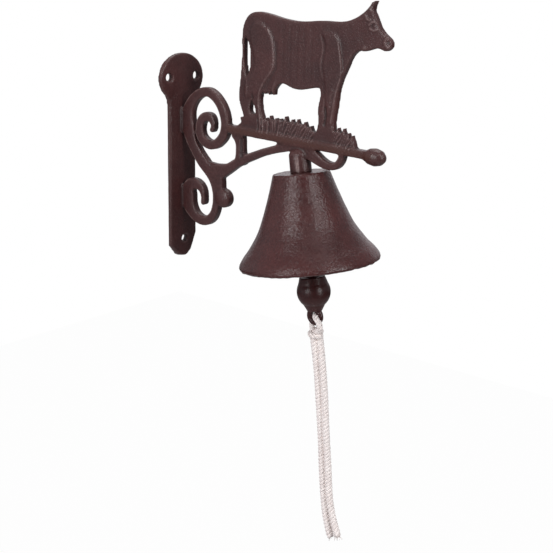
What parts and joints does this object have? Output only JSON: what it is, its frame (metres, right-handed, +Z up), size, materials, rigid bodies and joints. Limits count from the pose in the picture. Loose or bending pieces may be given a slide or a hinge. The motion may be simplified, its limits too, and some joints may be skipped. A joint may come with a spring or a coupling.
{
  "type": "garden bell on a wall bracket",
  "caption": "Cast iron wall bell: a screwed plate with a scrolled arm and a standing cow, an open bell below, and a clapper swung by a knotted cotton pull cord.",
  "frame": {"origin": "on the wall, midway between the two upper screw holes of the plate", "axes": "+X out from the wall along the arm, +Z up, +Y to the right of someone who faces the wall"},
  "size_m": [0.1702, 0.0902, 0.3499],
  "materials": {
    "iron": "semi-gloss dark red-brown paint over sand-cast iron",
    "steel": "plain zinc-plated steel",
    "cotton": "twisted white cotton cord"
  },
  "bodies": {
    "frame": {"bracket": "iron", "bell": "iron", "eye_bolt": "steel", "washer": "steel", "lock_nut": "steel"},
    "link": {"clapper_link": "steel"},
    "clapper": {"clapper": "iron", "cord_knot": "cotton", "cord_tail_left": "cotton", "cord_tail_right": "cotton"}
  },
  "joints": [
    {"name": "link_swing", "type": "hinge", "parent": "frame", "child": "link", "pos_m": [0.10972, 0, -0.07259], "axis": [0, 1, 0], "range_deg": [-35, 35]},
    {"name": "clapper_rock", "type": "hinge", "parent": "link", "child": "clapper", "pos_m": [0.11108, 0, -0.08047], "axis": [0.9854, 0, 0.1702], "range_deg": [-7, 7]}
  ]
}
